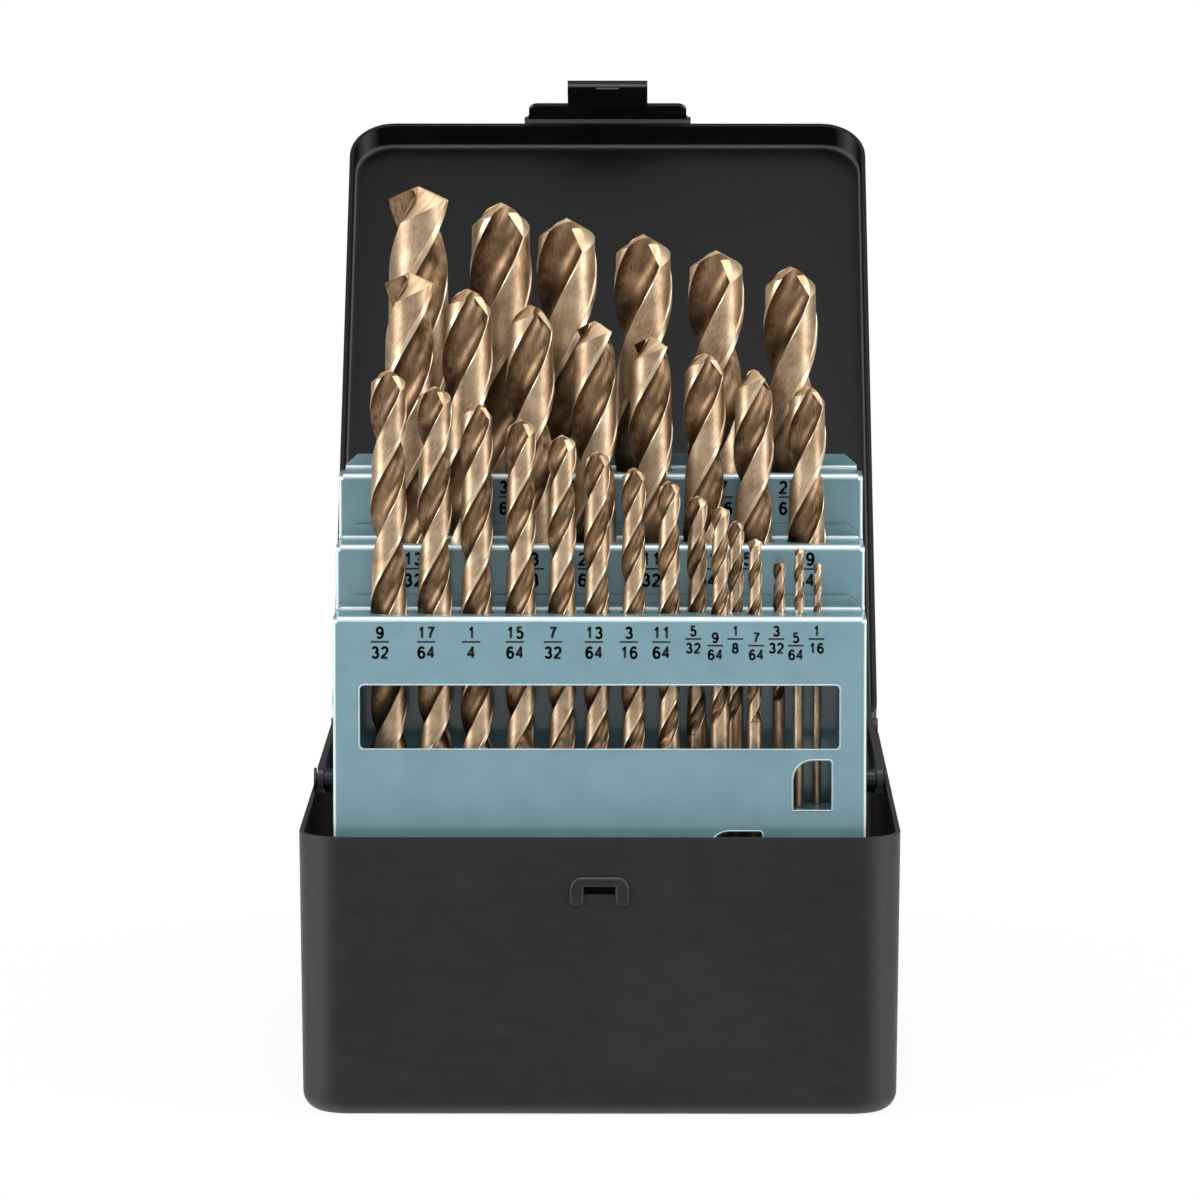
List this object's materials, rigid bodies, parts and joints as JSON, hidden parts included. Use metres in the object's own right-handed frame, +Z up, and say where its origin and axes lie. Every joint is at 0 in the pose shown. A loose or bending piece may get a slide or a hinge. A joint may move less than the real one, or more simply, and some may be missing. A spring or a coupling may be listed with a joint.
{
  "type": "drill bit case",
  "caption": "Open folding steel drill bit case: a linked lid raises a stepped rack of trays holding graded twist drill bits.",
  "frame": {"origin": "middle of the flat underside that the case stands on", "axes": "+Z up, +Y from the front wall with the catch to the hinge at the rear, +X to the right when facing the front"},
  "size_m": [0.1176, 0.3099, 0.1892],
  "materials": {
    "case_black": "satin powder coat",
    "tray_blue_grey": "semi-gloss paint",
    "cobalt_steel": "straw-bronze tempered high speed steel",
    "plated_steel": "zinc plated"
  },
  "bodies": {
    "base": {"base_shell": "case_black", "hinge_base_leaf": "case_black", "hinge_pin": "plated_steel", "pivot_bracket_left": "case_black", "pivot_bracket_right": "case_black", "rack_pivot_left": "plated_steel", "rack_pivot_right": "plated_steel"},
    "lid": {"lid_shell": "case_black", "latch_tab": "case_black", "hinge_lid_leaf": "case_black", "lid_lug_left": "case_black", "lid_lug_right": "case_black", "lid_lift_pin_left": "plated_steel", "lid_lift_pin_right": "plated_steel"},
    "rack": {"front_tray": "tray_blue_grey", "middle_tray": "tray_blue_grey", "rear_tray": "tray_blue_grey", "seat_low": "tray_blue_grey", "seat_high": "tray_blue_grey", "rack_side_left": "tray_blue_grey", "rack_side_right": "tray_blue_grey", "rack_lift_pin_left": "plated_steel", "rack_lift_pin_right": "plated_steel"},
    "tongue": {"latch_tongue": "case_black"},
    "link_left": {"lift_link_left": "case_black"},
    "link_right": {"lift_link_right": "case_black"},
    "bit_11_32": {"bit_11_32": "cobalt_steel"},
    "bit_11_64": {"bit_11_64": "cobalt_steel"},
    "bit_13_32": {"bit_13_32": "cobalt_steel"},
    "bit_13_64": {"bit_13_64": "cobalt_steel"},
    "bit_15_32": {"bit_15_32": "cobalt_steel"},
    "bit_15_64": {"bit_15_64": "cobalt_steel"},
    "bit_17_64": {"bit_17_64": "cobalt_steel"},
    "bit_19_64": {"bit_19_64": "cobalt_steel"},
    "bit_1_16": {"bit_1_16": "cobalt_steel"},
    "bit_1_2": {"bit_1_2": "cobalt_steel"},
    "bit_1_4": {"bit_1_4": "cobalt_steel"},
    "bit_1_8": {"bit_1_8": "cobalt_steel"},
    "bit_21_64": {"bit_21_64": "cobalt_steel"},
    "bit_23_64": {"bit_23_64": "cobalt_steel"},
    "bit_25_64": {"bit_25_64": "cobalt_steel"},
    "bit_27_64": {"bit_27_64": "cobalt_steel"},
    "bit_29_64": {"bit_29_64": "cobalt_steel"},
    "bit_31_64": {"bit_31_64": "cobalt_steel"},
    "bit_3_16": {"bit_3_16": "cobalt_steel"},
    "bit_3_32": {"bit_3_32": "cobalt_steel"},
    "bit_3_8": {"bit_3_8": "cobalt_steel"},
    "bit_5_16": {"bit_5_16": "cobalt_steel"},
    "bit_5_32": {"bit_5_32": "cobalt_steel"},
    "bit_5_64": {"bit_5_64": "cobalt_steel"},
    "bit_7_16": {"bit_7_16": "cobalt_steel"},
    "bit_7_32": {"bit_7_32": "cobalt_steel"},
    "bit_7_64": {"bit_7_64": "cobalt_steel"},
    "bit_9_32": {"bit_9_32": "cobalt_steel"},
    "bit_9_64": {"bit_9_64": "cobalt_steel"}
  },
  "joints": [
    {"name": "rack_tilt", "type": "hinge", "parent": "base", "child": "rack", "pos_m": [0, -0.066, 0.044], "axis": [1, 0, 0], "range_deg": [-90, 0]},
    {"name": "lid_hinge", "type": "hinge", "parent": "base", "child": "lid", "pos_m": [0, 0.0902, 0.055], "axis": [-1, 0, 0], "range_deg": [-135.61, 0.01]},
    {"name": "tongue_flex", "type": "hinge", "parent": "lid", "child": "tongue", "pos_m": [0, 0.21449, 0.18399], "axis": [-1, 0, 0], "range_deg": [0, 14], "stiffness_Nm_per_rad": 0.02},
    {"name": "link_swing_left", "type": "hinge", "parent": "lid", "child": "link_left", "pos_m": [0, 0.09241, 0.06332], "axis": [1, 0, 0], "range_deg": [-131.06, 0.01]},
    {"name": "link_swing_right", "type": "hinge", "parent": "lid", "child": "link_right", "pos_m": [0, 0.09241, 0.06332], "axis": [1, 0, 0], "range_deg": [-131.06, 0.01]},
    {"name": "bit_11_32_lift", "type": "slide", "parent": "rack", "child": "bit_11_32", "axis": [0, 0, 1], "range_m": [0, 0.083]},
    {"name": "bit_11_64_lift", "type": "slide", "parent": "rack", "child": "bit_11_64", "axis": [0, 0, 1], "range_m": [0, 0.063]},
    {"name": "bit_13_32_lift", "type": "slide", "parent": "rack", "child": "bit_13_32", "axis": [0, 0, 1], "range_m": [0, 0.083]},
    {"name": "bit_13_64_lift", "type": "slide", "parent": "rack", "child": "bit_13_64", "axis": [0, 0, 1], "range_m": [0, 0.063]},
    {"name": "bit_15_32_lift", "type": "slide", "parent": "rack", "child": "bit_15_32", "axis": [0, 0, 1], "range_m": [0, 0.099]},
    {"name": "bit_15_64_lift", "type": "slide", "parent": "rack", "child": "bit_15_64", "axis": [0, 0, 1], "range_m": [0, 0.063]},
    {"name": "bit_17_64_lift", "type": "slide", "parent": "rack", "child": "bit_17_64", "axis": [0, 0, 1], "range_m": [0, 0.063]},
    {"name": "bit_19_64_lift", "type": "slide", "parent": "rack", "child": "bit_19_64", "axis": [0, 0, 1], "range_m": [0, 0.083]},
    {"name": "bit_1_16_lift", "type": "slide", "parent": "rack", "child": "bit_1_16", "axis": [0, 0, 1], "range_m": [0, 0.063]},
    {"name": "bit_1_2_lift", "type": "slide", "parent": "rack", "child": "bit_1_2", "axis": [0, 0, 1], "range_m": [0, 0.099]},
    {"name": "bit_1_4_lift", "type": "slide", "parent": "rack", "child": "bit_1_4", "axis": [0, 0, 1], "range_m": [0, 0.063]},
    {"name": "bit_1_8_lift", "type": "slide", "parent": "rack", "child": "bit_1_8", "axis": [0, 0, 1], "range_m": [0, 0.063]},
    {"name": "bit_21_64_lift", "type": "slide", "parent": "rack", "child": "bit_21_64", "axis": [0, 0, 1], "range_m": [0, 0.083]},
    {"name": "bit_23_64_lift", "type": "slide", "parent": "rack", "child": "bit_23_64", "axis": [0, 0, 1], "range_m": [0, 0.083]},
    {"name": "bit_25_64_lift", "type": "slide", "parent": "rack", "child": "bit_25_64", "axis": [0, 0, 1], "range_m": [0, 0.083]},
    {"name": "bit_27_64_lift", "type": "slide", "parent": "rack", "child": "bit_27_64", "axis": [0, 0, 1], "range_m": [0, 0.099]},
    {"name": "bit_29_64_lift", "type": "slide", "parent": "rack", "child": "bit_29_64", "axis": [0, 0, 1], "range_m": [0, 0.099]},
    {"name": "bit_31_64_lift", "type": "slide", "parent": "rack", "child": "bit_31_64", "axis": [0, 0, 1], "range_m": [0, 0.099]},
    {"name": "bit_3_16_lift", "type": "slide", "parent": "rack", "child": "bit_3_16", "axis": [0, 0, 1], "range_m": [0, 0.063]},
    {"name": "bit_3_32_lift", "type": "slide", "parent": "rack", "child": "bit_3_32", "axis": [0, 0, 1], "range_m": [0, 0.063]},
    {"name": "bit_3_8_lift", "type": "slide", "parent": "rack", "child": "bit_3_8", "axis": [0, 0, 1], "range_m": [0, 0.083]},
    {"name": "bit_5_16_lift", "type": "slide", "parent": "rack", "child": "bit_5_16", "axis": [0, 0, 1], "range_m": [0, 0.083]},
    {"name": "bit_5_32_lift", "type": "slide", "parent": "rack", "child": "bit_5_32", "axis": [0, 0, 1], "range_m": [0, 0.063]},
    {"name": "bit_5_64_lift", "type": "slide", "parent": "rack", "child": "bit_5_64", "axis": [0, 0, 1], "range_m": [0, 0.063]},
    {"name": "bit_7_16_lift", "type": "slide", "parent": "rack", "child": "bit_7_16", "axis": [0, 0, 1], "range_m": [0, 0.099]},
    {"name": "bit_7_32_lift", "type": "slide", "parent": "rack", "child": "bit_7_32", "axis": [0, 0, 1], "range_m": [0, 0.063]},
    {"name": "bit_7_64_lift", "type": "slide", "parent": "rack", "child": "bit_7_64", "axis": [0, 0, 1], "range_m": [0, 0.063]},
    {"name": "bit_9_32_lift", "type": "slide", "parent": "rack", "child": "bit_9_32", "axis": [0, 0, 1], "range_m": [0, 0.063]},
    {"name": "bit_9_64_lift", "type": "slide", "parent": "rack", "child": "bit_9_64", "axis": [0, 0, 1], "range_m": [0, 0.063]}
  ],
  "couplings": [
    {"joint": "lid_hinge", "follows": "rack_tilt", "ratio": 1.5067},
    {"joint": "link_swing_left", "follows": "rack_tilt", "ratio": 1.4561},
    {"joint": "link_swing_right", "follows": "rack_tilt", "ratio": 1.4561}
  ]
}
